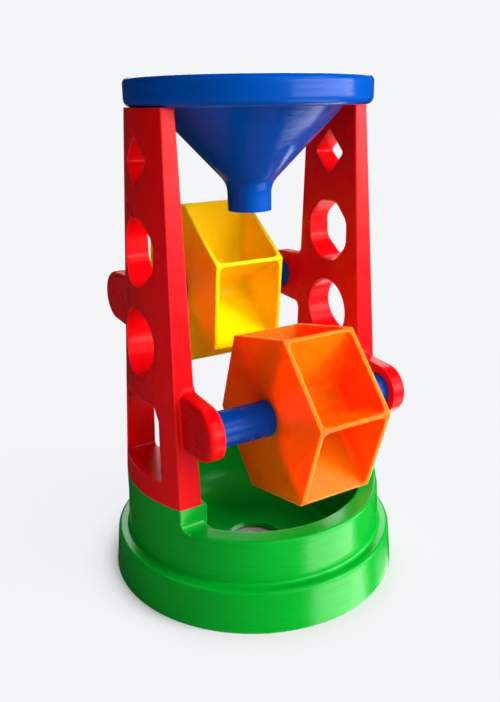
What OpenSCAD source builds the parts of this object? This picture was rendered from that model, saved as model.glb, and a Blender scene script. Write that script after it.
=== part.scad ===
// Double sand wheel toy: a funnel on two side panels feeds two paddle wheels over a catch bowl.
// X runs along the axles, -Y is the front, Z is up, and the origin is the centre of the foot.

/* [Base] */
// Outer radius of the foot ring
base_r = 80; // [77:0.5:90]
// Height of the flared skirt, up to its ledge
skirt_h = 22.5; // [20:0.5:26]
// Outer radius of the collar, flush with the panels
collar_r = 71; // [70:0.5:72]
// Height of the open rim at the front and back
rim_z = 46.5; // [44:0.5:50]
// Width of the rim
rim_w = 11; // [10.5:0.5:13]
// Height of the two seats that carry the panels
seat_z = 58.5; // [56:0.5:61]
// Radius of the outlet hole in the bowl's floor
outlet_r = 17; // [12:0.5:20]
// Wall of the moulded shell
base_wall = 3; // [2.6:0.1:3.2]

/* [Side panels] */
// Height of a panel from its seat to the funnel's lip
panel_h = 191; // [187:1:200]
// Clear width between the panels' inner faces
inner_w = 100.5; // [98:0.5:103]
// Depth of a panel at its foot
foot_d = 67; // [64:1:70]
// Depth of a panel at its top
top_d = 42; // [40:1:46]
// Corner-to-corner size of the diamond cut-out
diamond_w = 24; // [18:0.5:25]
// Flat-to-flat size of the octagon cut-out
octagon_w = 32.5; // [28:0.5:35]
// Diameter of the round cut-out
round_d = 34; // [28:0.5:35]
// Height of the window at the foot
window_h = 40; // [36:0.5:43]
// Radius of a lobe's round end
lobe_r = 13.5; // [13:0.25:15]
// Thickness of a lobe
lobe_t = 8.25; // [7:0.25:8.5]

/* [Funnel] */
// Outer radius of the lip
lip_r = 61; // [60.5:0.25:63]
// Height of the lip
lip_h = 13.5; // [12.5:0.25:15]
// Outer radius of the spout
spout_r = 11.25; // [9:0.25:12]
// Drop from the lip's lower edge to the spout's mouth
funnel_drop = 51; // [48:0.5:52]
// Wall of the cone and the spout
funnel_wall = 2.6; // [2.2:0.1:3]

/* [Wheels] */
// Distance from the lower wheel's axis to its corners
lower_r = 46; // [42:0.5:47]
// Width of the lower wheel along its axle
lower_w = 40; // [34:1:44]
// Distance from the upper wheel's axis to its corners
upper_r = 48; // [44:0.5:49]
// Width of the upper wheel along its axle
upper_w = 41; // [34:1:44]
// Thickness of the webs between the pockets
web_t = 2.2; // [1.8:0.2:3]
// Thickness of the two end plates
plate_t = 2; // [1.8:0.2:3]
// Turn of the lower wheel at rest, in degrees
lower_turn = 48.5; // [0:0.5:60]
// Turn of the upper wheel at rest, in degrees
upper_turn = 36; // [0:0.5:60]
// Place of the lower wheel along its axle
lower_shift = 0; // [-8:0.5:8]
// Place of the upper wheel along its axle
upper_shift = 2; // [-8:0.5:8]

/* [Axles] */
// Diameter of both axles
axle_d = 18; // [16:0.25:18.5]
// Distance of each axle from the middle plane, to the front and to the rear
axle_y = 47; // [45.5:0.5:49]
// Height of the lower axle
lower_axle_z = 104; // [103:0.5:106]
// Height of the upper axle
upper_axle_z = 151; // [149:0.5:153]

/* [Hidden] */
$fn = 96;
eps = 0.01;
over = 1;
// Overlap of a round with the straight sides that it blends into
tuck = 0.02;
// Fits between pieces
run_gap = 0.1;
end_gap = 0.4;
fit_gap = 0.2;
press_bite = 0.02;
// Base
draft = 5;
ledge_edge = 2;
ledge_z = skirt_h - ledge_edge;
ledge_x = base_r - (ledge_edge + ledge_z * sin(draft)) / cos(draft);
rim_edge = 1.5;
flare = 1;
flare_a = atan(flare / (rim_z - rim_edge - skirt_h));
crease_r = collar_r + flare;
crease_fillet = 1.5;
crease_x = crease_r - crease_fillet * tan(flare_a) + crease_fillet / cos(flare_a);
bowl_r = collar_r - rim_w;
floor_z = 4.8;
bowl_fillet = 22;
seat_y = foot_d / 2;
seat_ledge = 2.5;
seat_x = inner_w / 2 - seat_ledge;
seat_fillet = 4;
// Tongues that lock the panels to the base and the funnel
foot_tongue_h = 10;
foot_tongue_t = 3;
foot_tongue_w = 40;
foot_tongue_set = 1;
foot_tongue_r = collar_r - base_wall - foot_tongue_set;
bead = 0.7;
top_tongue_h = 5;
top_tongue_w = 30;
top_tongue_t = 2.6;
// Panels
panel_z0 = seat_z;
panel_z1 = seat_z + panel_h;
panel_x = inner_w / 2;
edge_tilt = atan((foot_d - top_d) / 2 / panel_h);
edge_cut = 0.6;
sill_h = 11.5;
window_z0 = panel_z0 + sill_h;
window_z1 = window_z0 + window_h;
stile_w = 11.5;
window_lean = 2;
window_y0 = foot_d / 2 - stile_w;
window_y1 = window_y0 - window_lean;
window_corner = 7;
window_edge = 2;
band_sum = panel_h - sill_h - window_h - round_d - octagon_w - diamond_w;
low_band = 0.235 * band_sum;
mid_band = 0.235 * band_sum;
top_band = 0.28 * band_sum;
round_z = window_z1 + low_band + round_d / 2;
octagon_z = round_z + round_d / 2 + mid_band + octagon_w / 2;
octagon_edge = 8;
diamond_z = octagon_z + octagon_w / 2 + top_band + diamond_w / 2;
diamond_edge = 1.6;
lobe_lean = 3.5;
lobe_root_y = 22;
lobe_fillet = 3;
lobe_edge = 2.5;
socket_end = 2.5;
socket_depth = lobe_t - socket_end;
// Axles
axle_r = axle_d / 2;
axle_wall = 2.6;
axle_bore_r = axle_r - axle_wall;
axle_half = panel_x + socket_depth - end_gap;
axle_edge = 1;
// Funnel
lip_z0 = panel_z1;
lip_z1 = lip_z0 + lip_h;
lip_t = 4.5;
lip_edge = 3;
lip_foot = 3.8;
spout_z = lip_z0 - funnel_drop;
lip_step = 0.6;
cone_top_r = lip_r - lip_step;
cone_drop = 37.7;
neck_z = lip_z0 - cone_drop;
cone_run = (cone_top_r - spout_r) / (lip_z1 - neck_z);
cone_a = atan(cone_run);
cone_skin = funnel_wall / cos(cone_a);
neck_fillet = 12;
neck_len = neck_fillet * tan(cone_a / 2);
// Wheels
pockets = 6;
half_a = 180 / pockets;
hub_wall = 2.5;
web_tip = web_t / 2 / sin(half_a);
trough_r = (axle_r + hub_wall - web_tip) / (1 / sin(half_a) - 1);
trough_y = axle_r + hub_wall + trough_r;
trough_fillet = 3;
wheel_edge = 1.6;

function unit(v) = v / norm(v);
function cone_r(z) = spout_r + (z - neck_z) * cone_run;
function edge_at(z) = foot_d / 2 - (z - panel_z0) * tan(edge_tilt);
function flank(run, r) = r / cos(lobe_lean) + run * tan(lobe_lean);

// A flat outline in Y and Z, pushed along X from x0 by len
module along_x(x0, len) {
    translate([x0, 0, 0])
        rotate([90, 0, 90])
            linear_extrude(len)
                children();
}

// A convex outline, points counter-clockwise, with every corner rounded to radius r
module rounded(pts, r) {
    n = len(pts);
    back = [for (i = [0 : n - 1]) unit(pts[(i + n - 1) % n] - pts[i])];
    ahead = [for (i = [0 : n - 1]) unit(pts[(i + 1) % n] - pts[i])];
    half = [for (i = [0 : n - 1]) acos(back[i] * ahead[i]) / 2];
    cut = [for (i = [0 : n - 1]) r / tan(half[i])];
    polygon([for (i = [0 : n - 1], s = [0, 1]) pts[i] + (s == 0 ? back[i] : ahead[i]) * cut[i]]);
    for (i = [0 : n - 1])
        translate(pts[i] + unit(back[i] + ahead[i]) * r / sin(half[i]))
            circle(r + tuck);
}

// A ring of rectangular section about the Z axis
module ring(r0, r1, z0, z1) {
    rotate_extrude()
        translate([r0, z0])
            square([r1 - r0, z1 - z0]);
}

// Section of the base's outside: the flared skirt with its ledge, then the collar up to the rim
module base_outside() {
    tip = ledge_edge - tuck;
    polygon([[0, 0], [base_r, 0], [ledge_x + tip * cos(draft), ledge_z + tip * sin(draft)],
             [ledge_x, ledge_z], [0, ledge_z]]);
    translate([ledge_x, ledge_z])
        circle(ledge_edge);
    square([ledge_x, skirt_h]);
    polygon([[0, 0], [crease_r, 0], [crease_r, skirt_h], [collar_r, rim_z - rim_edge],
             [0, rim_z - rim_edge]]);
    square([collar_r - rim_edge, rim_z]);
    translate([collar_r - rim_edge, rim_z - rim_edge])
        circle(rim_edge);
    difference() {
        polygon([[crease_r, skirt_h], [crease_x, skirt_h], [crease_x, skirt_h + crease_fillet],
                 [crease_x - crease_fillet * cos(flare_a), skirt_h + crease_fillet * (1 - sin(flare_a))]]);
        translate([crease_x, skirt_h + crease_fillet])
            circle(crease_fillet);
    }
}

// Section of the space inside the skirt and the collar, one wall in from the outside
module base_inside() {
    foot_in = base_r - base_wall;
    rise = skirt_h - base_wall;
    polygon([[0, -over], [foot_in, -over], [foot_in, 0], [foot_in - rise * tan(draft), rise], [0, rise]]);
    square([collar_r - base_wall, rim_z - base_wall]);
}

// Section of the catch bowl's hollow, grown outwards by skin to give the shell's hidden side
module bowl_hollow(skin) {
    r = bowl_r + skin;
    f = bowl_fillet + skin;
    translate([0, floor_z - skin])
        square([r - f, rim_z]);
    translate([0, floor_z + bowl_fillet])
        square([r, rim_z]);
    intersection() {
        translate([r - f, floor_z + bowl_fillet])
            circle(f);
        translate([r - f - eps, floor_z - skin])
            square([f + 2 * eps, f + eps]);
    }
}

// Rounding of the rim's inner edge
module rim_round() {
    translate([bowl_r - eps, rim_z - rim_edge])
        difference() {
            square([rim_edge + eps, rim_edge + over]);
            translate([rim_edge + eps, 0])
                circle(rim_edge);
        }
}

// The block that one panel stands on, at the +X side, shrunk by skin
module seat_block(skin, z0, z1) {
    intersection() {
        translate([seat_x + skin, -seat_y + skin, z0])
            cube([base_r, foot_d - 2 * skin, z1 - z0]);
        translate([0, 0, z0 - over])
            cylinder(r = collar_r - skin, h = z1 - z0 + 2 * over);
    }
}

// Fillets where a seat's front and rear faces run out into the rim
module seat_fillets() {
    intersection() {
        ring(bowl_r, collar_r, rim_z - rim_edge, rim_z + seat_fillet);
        along_x(seat_x, base_r)
            for (s = [0, 1])
                mirror([s, 0])
                    difference() {
                        translate([seat_y - over, rim_z - rim_edge])
                            square([seat_fillet + over, seat_fillet + rim_edge]);
                        translate([seat_y + seat_fillet, rim_z + seat_fillet])
                            circle(seat_fillet);
                    }
    }
}

module base() {
    color([0.0, 0.6, 0.2])
        difference() {
            union() {
                rotate_extrude()
                    difference() {
                        base_outside();
                        bowl_hollow(0);
                        rim_round();
                        square([outlet_r, rim_z]);
                    }
                for (m = [0, 1])
                    mirror([m, 0, 0]) {
                        seat_block(0, floor_z, seat_z);
                        seat_fillets();
                    }
            }
            rotate_extrude()
                difference() {
                    base_inside();
                    bowl_hollow(base_wall);
                }
            for (m = [0, 1])
                mirror([m, 0, 0]) {
                    seat_block(base_wall, -over, seat_z - base_wall);
                    tongue(foot_tongue_r + fit_gap, foot_tongue_t + 2 * fit_gap,
                           foot_tongue_w + 2 * fit_gap, seat_z - base_wall - over, seat_z + over);
                }
        }
}

// A curved tongue at the +X side: outer radius r, thickness t, width w
module tongue(r, t, w, z0, z1) {
    intersection() {
        ring(r - t, r, z0, z1);
        translate([0, -w / 2, z0])
            cube([r, w, z1 - z0]);
    }
}

// The ridge on a foot tongue that snaps under the seat's skin
module snap_bead() {
    intersection() {
        rotate_extrude()
            translate([foot_tongue_r, seat_z - base_wall - bead - run_gap])
                circle(bead);
        translate([0, -foot_tongue_w / 4, panel_z0 - foot_tongue_h])
            cube([collar_r, foot_tongue_w / 2, foot_tongue_h]);
    }
}

// A fillet in the corner p between two sides that run off along the unit vectors a and b
module fillet(p, a, b, r) {
    half = acos(a * b) / 2;
    run = r / tan(half);
    mid = p + unit(a + b) * r / sin(half);
    difference() {
        polygon([p - over * (a + b), p + run * a - over * b, mid, p + run * b - over * a]);
        translate(mid)
            circle(r + tuck);
    }
}

// Outline of a lobe of end radius r that reaches from a panel's +Y edge to an axle, in Y and Z
module lobe_outline(y, z, r) {
    tip = r * [sin(lobe_lean), cos(lobe_lean)];
    root = flank(y - lobe_root_y, r);
    translate([y, z])
        circle(r + tuck);
    polygon([[y, z] + tip, [lobe_root_y, z + root], [lobe_root_y, z - root], [y, z] + [tip[0], -tip[1]]]);
}

// Fillets above and below a lobe, where it leaves the panel's edge
module lobe_fillets(y, z) {
    for (s = [-1, 1]) {
        edge_y = edge_at(z + s * flank(y - edge_at(z + s * lobe_r), lobe_r));
        fillet([edge_y, z + s * flank(y - edge_y, lobe_r)], [cos(lobe_lean), -s * sin(lobe_lean)],
               s * [-sin(edge_tilt), cos(edge_tilt)], lobe_fillet);
    }
}

// A lobe with a soft outer edge, on a panel at the +X side
module lobe(y, z) {
    core = lobe_r - lobe_edge;
    along_x(panel_x, lobe_t - lobe_edge) {
        lobe_outline(y, z, lobe_r);
        lobe_fillets(y, z);
    }
    along_x(panel_x, lobe_t)
        lobe_outline(y, z, core);
    translate([panel_x + lobe_t - lobe_edge, y, z]) {
        rotate([0, 90, 0])
            rotate_extrude()
                translate([core, 0])
                    circle(lobe_edge + 2 * tuck);
        for (s = [-1, 1])
            translate(core * [0, sin(lobe_lean), s * cos(lobe_lean)])
                rotate([90 - s * lobe_lean, 0, 0])
                    cylinder(r = lobe_edge + tuck / 2, h = y - lobe_root_y);
    }
}

// The four cut-outs of a panel, in Y and Z
module cut_outs() {
    corner_r = octagon_w / 2 / cos(22.5);
    rounded([for (i = [0 : 3]) [0, diamond_z] + diamond_w / 2 * [cos(90 * i), sin(90 * i)]], diamond_edge);
    rounded([for (i = [0 : 7]) [0, octagon_z] + corner_r * [cos(45 * i + 22.5), sin(45 * i + 22.5)]],
            octagon_edge);
    translate([0, round_z])
        circle(round_d / 2);
    rounded([[-window_y0, window_z0], [window_y0, window_z0], [window_y1, window_z1 - window_corner],
             [window_y1 - window_corner / 2, window_z1], [window_corner / 2 - window_y1, window_z1],
             [-window_y1, window_z1 - window_corner]], window_edge);
}

// A bar along the sloping inner front edge of a panel, to break that edge
module inner_edge_bar() {
    side = 4 * edge_cut;
    translate([panel_x, -foot_d / 2, panel_z0])
        rotate([-edge_tilt, 0, 0])
            rotate([0, 0, 45])
                translate([edge_cut / sqrt(2) - side, -side / 2, -foot_d / 2])
                    cube([side, side, panel_h + foot_d]);
}

// The panel at the +X side
module side_panel() {
    difference() {
        union() {
            difference() {
                intersection() {
                    translate([0, 0, panel_z0])
                        cylinder(r1 = collar_r, r2 = lip_r, h = panel_h);
                    along_x(panel_x, collar_r - panel_x + over)
                        polygon([[-foot_d / 2, panel_z0], [foot_d / 2, panel_z0],
                                 [top_d / 2, panel_z1], [-top_d / 2, panel_z1]]);
                }
                for (m = [0, 1])
                    mirror([0, m, 0])
                        inner_edge_bar();
            }
            mirror([0, 1, 0])
                lobe(axle_y, lower_axle_z);
            lobe(axle_y, upper_axle_z);
            tongue(foot_tongue_r, foot_tongue_t, foot_tongue_w, panel_z0 - foot_tongue_h, panel_z0 + over);
            snap_bead();
            tongue(lip_r - lip_t - fit_gap, top_tongue_t, top_tongue_w, panel_z1 - over,
                   panel_z1 + top_tongue_h);
        }
        along_x(panel_x - over, collar_r)
            cut_outs();
        for (p = [[-axle_y, lower_axle_z], [axle_y, upper_axle_z]])
            translate([panel_x - eps, p[0], p[1]])
                rotate([0, 90, 0])
                    cylinder(r = axle_r + run_gap, h = socket_depth + eps);
    }
}

module left_panel() {
    color([0.86, 0.04, 0.05])
        mirror([1, 0, 0])
            side_panel();
}

module right_panel() {
    color([0.86, 0.04, 0.05])
        side_panel();
}

// Section of the funnel's outside: spout, neck, cone and turned-down lip
module funnel_outside() {
    intersection() {
        union() {
            translate([0, spout_z])
                square([spout_r, neck_z - spout_z]);
            polygon([[0, neck_z], [spout_r, neck_z], [cone_top_r, lip_z1], [0, lip_z1]]);
            difference() {
                polygon([[spout_r, neck_z], [spout_r, neck_z - neck_len],
                         [spout_r + neck_len * sin(cone_a), neck_z + neck_len * cos(cone_a)]]);
                translate([spout_r + neck_fillet, neck_z - neck_len])
                    circle(neck_fillet);
            }
            translate([lip_r - lip_t, lip_z0])
                square([lip_t - lip_foot, lip_h]);
            translate([lip_r - lip_t, lip_z0 + lip_foot])
                square([lip_t, lip_h - lip_foot]);
            intersection() {
                translate([lip_r - lip_foot, lip_z0 + lip_foot])
                    circle(lip_foot);
                translate([lip_r - lip_t, lip_z0])
                    square([lip_t, lip_h]);
            }
        }
        union() {
            translate([0, spout_z])
                square([lip_r, lip_z1 - lip_edge - spout_z]);
            translate([0, spout_z])
                square([lip_r - lip_edge, lip_z1 - spout_z]);
            translate([lip_r - lip_edge, lip_z1 - lip_edge])
                circle(lip_edge);
        }
    }
}

// Section of the funnel's hollow
module funnel_hollow() {
    bore = spout_r - funnel_wall;
    turn_z = neck_z + (bore + cone_skin - spout_r) / cone_run;
    polygon([[0, spout_z - over], [bore, spout_z - over], [bore, turn_z],
             [cone_r(lip_z1 + over) - cone_skin, lip_z1 + over], [0, lip_z1 + over]]);
}

module funnel() {
    color([0.04, 0.26, 0.72])
        rotate_extrude()
            difference() {
                funnel_outside();
                funnel_hollow();
            }
}

// A tube along X with broken ends
module axle(y, z) {
    translate([0, y, z])
        rotate([0, 90, 0])
            rotate_extrude()
                polygon([[axle_bore_r, -axle_half], [axle_r - axle_edge, -axle_half],
                         [axle_r, axle_edge - axle_half], [axle_r, axle_half - axle_edge],
                         [axle_r - axle_edge, axle_half], [axle_bore_r, axle_half]]);
}

module upper_axle() {
    color([0.04, 0.26, 0.72])
        axle(axle_y, upper_axle_z);
}

module lower_axle() {
    color([0.04, 0.26, 0.72])
        axle(-axle_y, lower_axle_z);
}

// Section of a pocket's trough of width w, filleted into both end plates
module trough_section(w) {
    r = trough_r + tuck;
    f = trough_fillet - 5 * tuck;
    translate([0, -w / 2])
        square([r - f, w]);
    translate([0, f - w / 2])
        square([r, w - 2 * f]);
    for (s = [-1, 1])
        translate([r - f, s * (w / 2 - f)])
            circle(f);
}

// Section of the space of width w beside a web, filleted into both end plates
module web_section(w, reach) {
    translate([-w / 2, web_t / 2 + trough_fillet])
        square([w, reach]);
    translate([trough_fillet - w / 2, web_t / 2])
        square([w - 2 * trough_fillet, reach]);
    for (s = [-1, 1])
        translate([s * (w / 2 - trough_fillet), web_t / 2 + trough_fillet])
            circle(trough_fillet);
}

// The space on the inner side of the web that lies below a pocket
module web_side(w, reach) {
    rotate([-half_a, 0, 0])
        rotate([90, 0, 180])
            linear_extrude(reach)
                web_section(w, reach);
}

// One pocket of width w, open along +Y: a round trough that runs out into two webs
module pocket(w, reach) {
    arm = 2 * trough_r * [-sin(half_a), cos(half_a)];
    translate([0, trough_y, 0])
        rotate([0, 90, 0])
            rotate_extrude()
                trough_section(w);
    intersection() {
        web_side(w, reach);
        mirror([0, 0, 1])
            web_side(w, reach);
        along_x(-w, 2 * w)
            polygon([[trough_y, 0], [trough_y + arm[0], -arm[1]], [reach, -reach], [reach, reach],
                     [trough_y + arm[0], arm[1]]]);
    }
}

// A wheel of corner radius r and width w about the X axis, with pockets all round
module wheel(r, w, turn, shift, y, z) {
    translate([shift, y, z])
        rotate([turn, 0, 0])
            difference() {
                along_x(-w / 2, w)
                    rounded([for (i = [1 : pockets]) r * [cos(2 * half_a * i), sin(2 * half_a * i)]],
                            wheel_edge);
                for (i = [1 : pockets])
                    rotate([(2 * i - 1) * half_a, 0, 0])
                        pocket(w - 2 * plate_t, 2 * r);
                translate([-w, 0, 0])
                    rotate([0, 90, 0])
                        cylinder(r = axle_r - press_bite, h = 2 * w);
            }
}

module upper_wheel() {
    color([1.0, 0.82, 0.0])
        wheel(upper_r, upper_w, upper_turn, upper_shift, axle_y, upper_axle_z);
}

module lower_wheel() {
    color([1.0, 0.36, 0.02])
        wheel(lower_r, lower_w, lower_turn, lower_shift, -axle_y, lower_axle_z);
}

base();
left_panel();
right_panel();
funnel();
upper_axle();
lower_axle();
upper_wheel();
lower_wheel();
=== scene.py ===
# Double sand wheel toy: a hopper on two side panels feeds two pocketed wheels above a catch bowl.
# Metres, +Z up, the front towards -Y, both axles along X, standing on the plane Z = 0.
import bpy
from mathutils import Matrix, Vector

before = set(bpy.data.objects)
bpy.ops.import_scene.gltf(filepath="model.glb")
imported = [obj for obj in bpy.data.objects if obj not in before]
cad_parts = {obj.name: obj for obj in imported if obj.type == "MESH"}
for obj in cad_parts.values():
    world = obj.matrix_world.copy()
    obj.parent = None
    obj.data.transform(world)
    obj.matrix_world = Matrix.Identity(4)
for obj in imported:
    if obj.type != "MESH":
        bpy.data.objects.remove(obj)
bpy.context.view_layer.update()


# Base: the round foot with its catch bowl, one injection moulding in green polypropylene.
# The mould leaves a faint orange-peel skin, and the corners come out of it slightly rounded.
# The panels snap into its two raised seats.
def noise(tree, where, per_metre, detail):
    speckle = tree.nodes.new("ShaderNodeTexNoise")
    speckle.inputs["Scale"].default_value = per_metre
    speckle.inputs["Detail"].default_value = detail
    tree.links.new(where, speckle.inputs["Vector"])
    return speckle.outputs["Fac"]


def raised(tree, height, strength, under):
    skin = tree.nodes.new("ShaderNodeBump")
    skin.inputs["Strength"].default_value = strength
    skin.inputs["Distance"].default_value = 0.0003
    tree.links.new(height, skin.inputs["Height"])
    tree.links.new(under, skin.inputs["Normal"])
    return skin.outputs["Normal"]


def moulded_plastic(name, tone, deep, edge_glint_tone, corner_width, roughness, gloss, marks_per_metre):
    mat = bpy.data.materials.new(name)
    mat.use_nodes = True
    tree = mat.node_tree
    shader = tree.nodes["Principled BSDF"]
    shader.inputs["Specular IOR Level"].default_value = gloss
    place = tree.nodes.new("ShaderNodeTexCoord").outputs["Object"]

    # Tool marks: fine streaks that run the way the mould was cut and the melt flowed
    along = tree.nodes.new("ShaderNodeMapping")
    along.inputs["Scale"].default_value = marks_per_metre
    tree.links.new(place, along.inputs["Vector"])
    marks = noise(tree, along.outputs["Vector"], per_metre=1, detail=4)

    # Pigment: the marks and broad, soft drifts, between two close tones of the same masterbatch
    drift = noise(tree, place, per_metre=22, detail=3)
    drift_share = tree.nodes.new("ShaderNodeMath")
    drift_share.operation = "MULTIPLY"
    drift_share.inputs[1].default_value = 0.5
    tree.links.new(drift, drift_share.inputs[0])
    both = tree.nodes.new("ShaderNodeMath")
    both.operation = "MULTIPLY_ADD"
    both.inputs[1].default_value = 0.5
    tree.links.new(marks, both.inputs[0])
    tree.links.new(drift_share.outputs["Value"], both.inputs[2])
    pigment = tree.nodes.new("ShaderNodeValToRGB")
    for stop, position, colour in zip(pigment.color_ramp.elements, (0.36, 0.64), (deep, tone)):
        stop.position = position
        stop.color = (*colour, 1)
    tree.links.new(both.outputs["Value"], pigment.inputs["Fac"])

    # Corners: rounded by the mould, and painted paler along the rounded edges: a painted highlight for
    # the glint and glow of thin edges
    corner = tree.nodes.new("ShaderNodeBevel")
    corner.samples = 6
    corner.inputs["Radius"].default_value = corner_width
    facing = tree.nodes.new("ShaderNodeNewGeometry")
    turn = tree.nodes.new("ShaderNodeVectorMath")
    turn.operation = "DOT_PRODUCT"
    tree.links.new(corner.outputs["Normal"], turn.inputs[0])
    tree.links.new(facing.outputs["True Normal"], turn.inputs[1])
    painted_glint_mask = tree.nodes.new("ShaderNodeMapRange")
    painted_glint_mask.inputs["From Min"].default_value = 0.985
    painted_glint_mask.inputs["From Max"].default_value = 0.86
    tree.links.new(turn.outputs["Value"], painted_glint_mask.inputs["Value"])
    # Painted highlight: the pale corner colour is mixed in where the rounded normal turns away from the
    # flat face
    glint_mix = tree.nodes.new("ShaderNodeMix")
    glint_mix.data_type = "RGBA"
    plain_side, glint_side, glinted = glint_mix.inputs[6], glint_mix.inputs[7], glint_mix.outputs[2]
    glint_side.default_value = (*edge_glint_tone, 1)
    tree.links.new(painted_glint_mask.outputs["Result"], glint_mix.inputs["Factor"])
    tree.links.new(pigment.outputs["Color"], plain_side)
    tree.links.new(glinted, shader.inputs["Base Color"])

    # Skin: patches a little more or less polished
    polish = tree.nodes.new("ShaderNodeMapRange")
    polish.inputs["To Min"].default_value = roughness - 0.06
    polish.inputs["To Max"].default_value = roughness + 0.1
    tree.links.new(noise(tree, place, per_metre=70, detail=5), polish.inputs["Value"])
    tree.links.new(polish.outputs["Result"], shader.inputs["Roughness"])

    # Skin: the orange peel that the cooling melt leaves, and the tool marks over it
    peel = raised(tree, noise(tree, place, per_metre=420, detail=2), 0.12, corner.outputs["Normal"])
    tree.links.new(raised(tree, marks, 0.35, peel), shader.inputs["Normal"])
    return mat


def dress(node, mat):
    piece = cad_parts[node]
    piece.data.materials.clear()
    piece.data.materials.append(mat)


# Each plastic's corner tone below is a painted highlight colour, laid paler along its rounded edges
green = moulded_plastic("green_base_plastic", tone=(0.0, 0.355, 0.02), deep=(0.0, 0.31, 0.015),
                        edge_glint_tone=(0.02, 0.48, 0.06), corner_width=0.001,
                        roughness=0.21, gloss=0.2, marks_per_metre=(45, 45, 620))
dress("base", green)


# Side panels: two thick red mouldings that snap into the base's seats and under the hopper's lip.
# Lobes on their edges hold the axle ends; the cut-outs lighten them and let the play be seen.
red = moulded_plastic("red_panel_plastic", tone=(0.82, 0.001, 0.004), deep=(0.74, 0.0008, 0.003),
                      edge_glint_tone=(0.92, 0.04, 0.045), corner_width=0.0014,
                      roughness=0.27, gloss=0.08, marks_per_metre=(520, 520, 30))
dress("left_panel", red)
dress("right_panel", red)


# Axles: blue tubes pressed into the wheels, with their ends running free in the lobes' sockets.
# Smooth drawn plastic, with fine marks along its length.
axle_blue = moulded_plastic("blue_axle_plastic", tone=(0.0, 0.052, 0.34), deep=(0.0, 0.045, 0.3),
                            edge_glint_tone=(0.01, 0.12, 0.58), corner_width=0.0005,
                            roughness=0.24, gloss=0.09, marks_per_metre=(25, 700, 700))
dress("upper_axle", axle_blue)
dress("lower_axle", axle_blue)


# Wheels: two six-pocket paddle wheels in yellow and orange, thin walled, each pressed on its axle.
# The thin walls let some light through, so they glow a little inside the pockets.
def let_light_through(mat, depth):
    shader = mat.node_tree.nodes["Principled BSDF"]
    shader.inputs["Subsurface Weight"].default_value = 1
    shader.inputs["Subsurface Radius"].default_value = depth
    shader.inputs["Subsurface Scale"].default_value = 1


yellow = moulded_plastic("yellow_wheel_plastic", tone=(1.0, 0.67, 0.001), deep=(0.98, 0.62, 0.001),
                         edge_glint_tone=(1.0, 0.58, 0.02), corner_width=0.0016,
                         roughness=0.27, gloss=0.12, marks_per_metre=(560, 60, 60))
let_light_through(yellow, depth=(0.004, 0.0014, 0.0002))
dress("upper_wheel", yellow)

orange = moulded_plastic("orange_wheel_plastic", tone=(1.0, 0.165, 0.002), deep=(0.98, 0.15, 0.001),
                         edge_glint_tone=(1.0, 0.29, 0.05), corner_width=0.0016,
                         roughness=0.27, gloss=0.12, marks_per_metre=(560, 60, 60))
let_light_through(orange, depth=(0.01, 0.0018, 0.0002))
dress("lower_wheel", orange)


# Hopper: the blue funnel with its turned-down lip, one moulding that rests on both panels.
# The same plastic as the axles, a little less deep in colour and the glossiest piece of the toy.
hopper_blue = moulded_plastic("blue_hopper_plastic", tone=(0.0, 0.062, 0.355), deep=(0.0, 0.053, 0.315),
                              edge_glint_tone=(0.01, 0.14, 0.62), corner_width=0.0007,
                              roughness=0.18, gloss=0.09, marks_per_metre=(45, 45, 620))
dress("funnel", hopper_blue)


# Floor: a wide pale studio sheet that runs out into the backdrop.
# It holds the toy's soft shadow near the foot and fades to the backdrop's own colour further out.
backdrop = (0.905, 0.913, 0.93, 1)
bpy.ops.mesh.primitive_circle_add(vertices=96, radius=4, fill_type="NGON", location=(0, 0, 0))
floor = bpy.context.object
floor.name = "floor"
sheet = bpy.data.materials.new("pale_floor")
sheet.use_nodes = True
tree = sheet.node_tree
tree.nodes.clear()
out = tree.nodes.new("ShaderNodeOutputMaterial")
paper = tree.nodes.new("ShaderNodeBsdfDiffuse")
paper.inputs["Color"].default_value = (0.7, 0.705, 0.715, 1)
far = tree.nodes.new("ShaderNodeEmission")
far.inputs["Color"].default_value = backdrop
place = tree.nodes.new("ShaderNodeTexCoord")
reach = tree.nodes.new("ShaderNodeVectorMath")
reach.operation = "LENGTH"
tree.links.new(place.outputs["Object"], reach.inputs[0])

# The share of the backdrop's colour at each distance from the toy's middle
fade = tree.nodes.new("ShaderNodeValToRGB")
foot_edge, far_out = fade.color_ramp.elements
foot_edge.position = 0.079
foot_edge.color = (0, 0, 0, 1)
far_out.position = 0.45
far_out.color = (1, 1, 1, 1)
for distance, share in ((0.083, 0.5), (0.09, 0.81), (0.1, 0.93)):
    fade.color_ramp.elements.new(distance).color = (share, share, share, 1)
tree.links.new(reach.outputs["Value"], fade.inputs["Fac"])
path = tree.nodes.new("ShaderNodeLightPath")
seen_share = tree.nodes.new("ShaderNodeMath")
seen_share.operation = "MULTIPLY"
tree.links.new(fade.outputs["Color"], seen_share.inputs[0])
tree.links.new(path.outputs["Is Camera Ray"], seen_share.inputs[1])
mix = tree.nodes.new("ShaderNodeMixShader")
tree.links.new(seen_share.outputs["Value"], mix.inputs["Fac"])
tree.links.new(paper.outputs["BSDF"], mix.inputs[1])
tree.links.new(far.outputs["Emission"], mix.inputs[2])
tree.links.new(mix.outputs["Shader"], out.inputs["Surface"])
floor.data.materials.append(sheet)
floor.visible_glossy = False


# Studio: a key box to the camera's right, a front box and a rear box in an even room.
# They light the toy at a plain level, and the strips only show as highlights on the gloss.
# The room is seen at the backdrop's colour, and the plastics mirror it much dimmer.
def room_light(tree, colour, strength):
    glow = tree.nodes.new("ShaderNodeBackground")
    glow.inputs["Color"].default_value = colour
    glow.inputs["Strength"].default_value = strength
    return glow.outputs["Background"]


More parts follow.
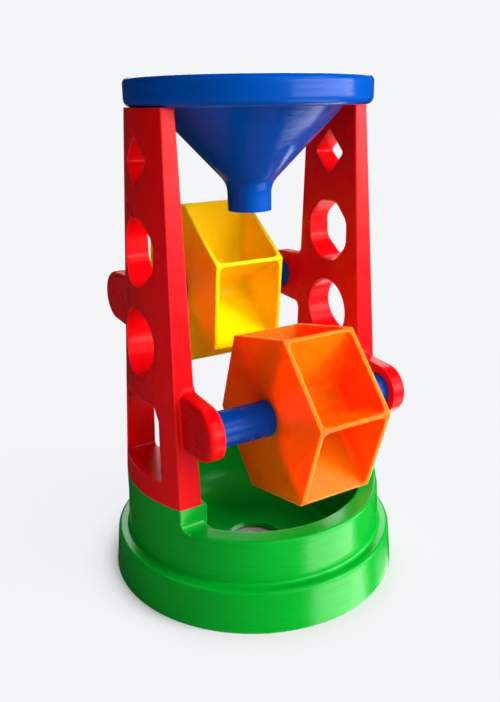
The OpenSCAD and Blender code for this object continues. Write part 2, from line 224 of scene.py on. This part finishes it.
room = bpy.data.worlds.new("studio_room")
bpy.context.scene.world = room
room.use_nodes = True
tree = room.node_tree
tree.nodes.clear()
out = tree.nodes.new("ShaderNodeOutputWorld")
path = tree.nodes.new("ShaderNodeLightPath")
air = (0.95, 0.97, 1.0, 1)
unseen = tree.nodes.new("ShaderNodeMixShader")
tree.links.new(path.outputs["Is Glossy Ray"], unseen.inputs["Fac"])
tree.links.new(room_light(tree, air, 0.06), unseen.inputs[1])
tree.links.new(room_light(tree, air, 0.03), unseen.inputs[2])
mix = tree.nodes.new("ShaderNodeMixShader")
tree.links.new(path.outputs["Is Camera Ray"], mix.inputs["Fac"])
tree.links.new(unseen.outputs["Shader"], mix.inputs[1])
tree.links.new(room_light(tree, backdrop, 1), mix.inputs[2])
tree.links.new(mix.outputs["Shader"], out.inputs["Surface"])


def soft_box(name, spot, width, height, watts):
    lamp = bpy.data.lights.new(name, "AREA")
    lamp.shape = "RECTANGLE"
    lamp.size = width
    lamp.size_y = height
    lamp.energy = watts
    box = bpy.data.objects.new(name, lamp)
    bpy.context.collection.objects.link(box)
    toy_middle = Vector((0, 0, 0.13))
    box.location = spot
    box.rotation_euler = (toy_middle - Vector(spot)).to_track_quat("-Z", "Y").to_euler()
    box.visible_camera = False
    return box


for box in (soft_box("key_box", (1.62, -1.75, 1.1), width=1.0, height=1.9, watts=100),
            soft_box("front_box", (0.35, -2.6, 1.7), width=2.2, height=2.2, watts=74),
            soft_box("rear_box", (0.7, 2.6, 1.8), width=2.2, height=2.2, watts=60)):
    box.visible_glossy = False

# The strips stand where the lip, the foot, the cone and the wheels' webs mirror them
for box in (soft_box("lip_strip", (1.58, -1.81, 0.5), width=3.1, height=0.7, watts=90),
            soft_box("foot_strip", (1.43, -1.67, -1.57), width=2.3, height=1.5, watts=82),
            soft_box("cone_strip", (1.49, 0.4, -1.61), width=0.95, height=1.1, watts=25),
            soft_box("web_strip", (1.26, -1.35, 1.62), width=0.7, height=0.5, watts=9),
            soft_box("back_strip", (1.13, 1.89, 1.3), width=2.0, height=1.0, watts=34)):
    box.visible_diffuse = False


# Camera: stands to the left of the front and a little above, as in the photograph.
# Its place, turn and lens are fitted to the outlines in a frame of 500 by 702 pixels.
eye = bpy.data.cameras.new("camera")
eye.sensor_fit = "VERTICAL"
eye.sensor_height = 36
eye.lens = 38.76
camera = bpy.data.objects.new("camera", eye)
bpy.context.collection.objects.link(camera)
camera.matrix_world = Matrix(((0.85579, 0.17443, -0.48703, -0.20197),
                              (-0.51719, 0.26639, -0.81336, -0.33591),
                              (-0.01213, 0.94795, 0.31819, 0.25335),
                              (0, 0, 0, 1)))
bpy.context.scene.camera = camera
bpy.context.scene.view_settings.view_transform = "Standard"
